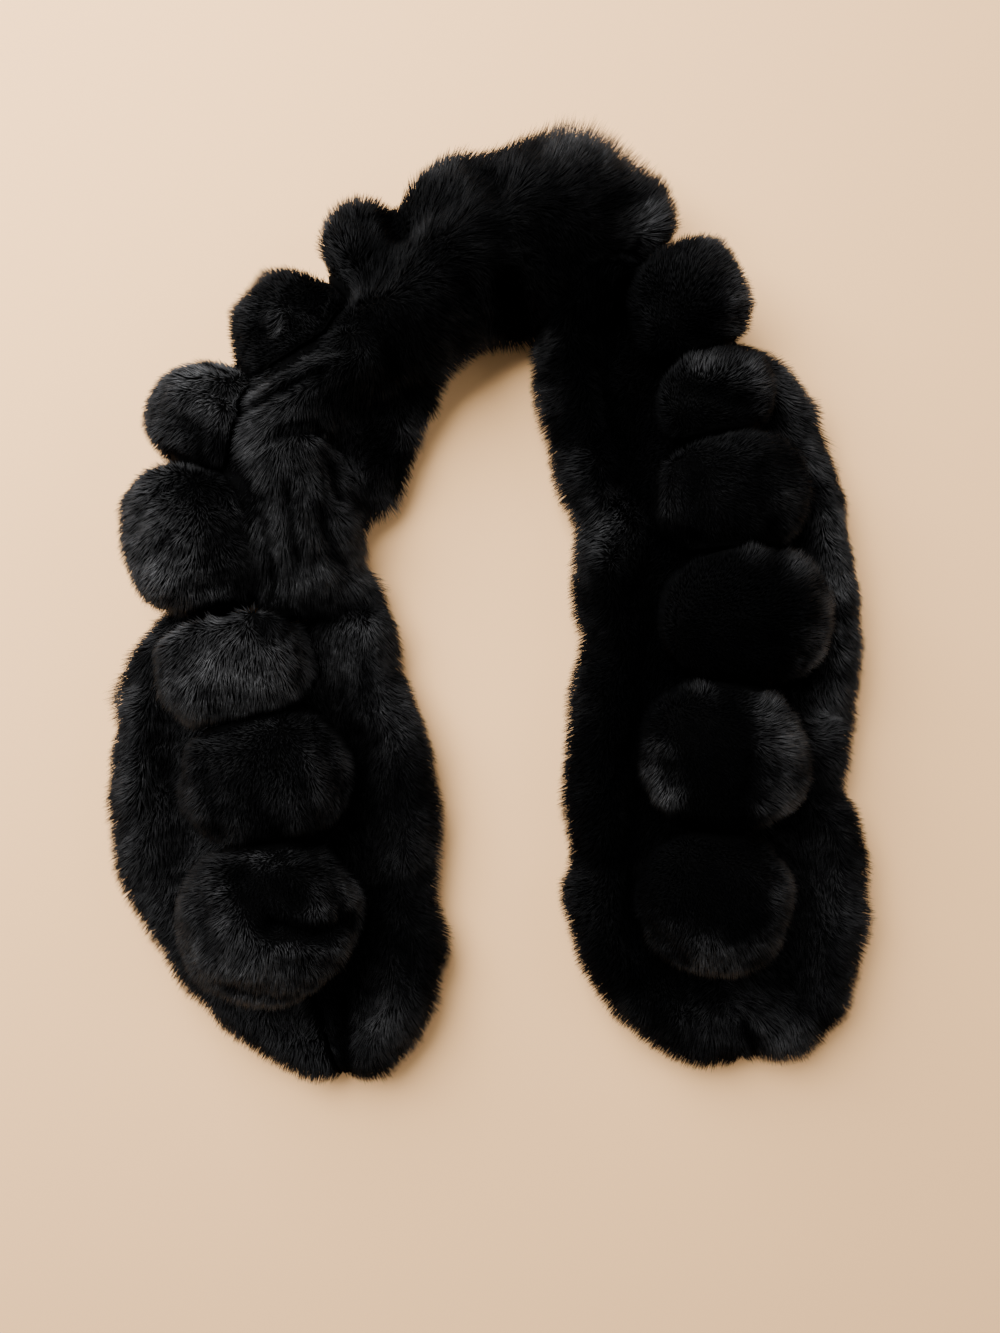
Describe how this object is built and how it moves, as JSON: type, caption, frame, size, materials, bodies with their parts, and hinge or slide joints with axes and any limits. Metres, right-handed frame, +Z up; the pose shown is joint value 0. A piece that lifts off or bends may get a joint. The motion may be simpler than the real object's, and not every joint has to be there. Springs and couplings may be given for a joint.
{
  "type": "fur collar wrap",
  "caption": "Black fur collar wrap laid out flat in a horseshoe, with a row of gathered fur puffs sewn along two flat fur strips.",
  "frame": {"origin": "on the surface that the collar lies on, under the middle of its bounding box", "axes": "+Z up, +Y towards the back of the neck, the two open ends towards -Y, +X towards the end whose strips have the more seams"},
  "size_m": [0.309, 0.3794, 0.0627],
  "materials": {
    "strip_fur": "soft sheared fur, matt with a faint sheen",
    "fold_fur": "soft sheared fur, slightly longer pile",
    "puff_fur": "soft sheared fur, gathered into puffs"
  },
  "bodies": {
    "root": {"inner_right_1": "strip_fur", "inner_right_2": "strip_fur", "inner_right_3": "strip_fur", "inner_right_4": "strip_fur", "outer_right_1": "strip_fur", "outer_right_2": "strip_fur", "outer_right_3": "strip_fur", "outer_right_4": "strip_fur", "inner_left_1": "strip_fur", "inner_left_2": "strip_fur", "outer_left_1": "strip_fur", "outer_left_2": "strip_fur", "outer_left_3": "strip_fur", "neck_fold_1": "fold_fur", "neck_fold_2": "fold_fur", "neck_fold_3": "fold_fur", "neck_layer": "fold_fur", "puff_right_1": "puff_fur", "puff_right_2": "puff_fur", "puff_right_3": "puff_fur", "puff_right_4": "puff_fur", "puff_right_5": "puff_fur", "puff_right_6": "puff_fur", "puff_right_7": "puff_fur", "puff_left_1": "puff_fur", "puff_left_2": "puff_fur", "puff_left_3": "puff_fur", "puff_left_4": "puff_fur", "puff_left_5": "puff_fur", "puff_left_6": "puff_fur", "puff_left_7": "puff_fur", "puff_left_8": "puff_fur"}
  },
  "joints": []
}
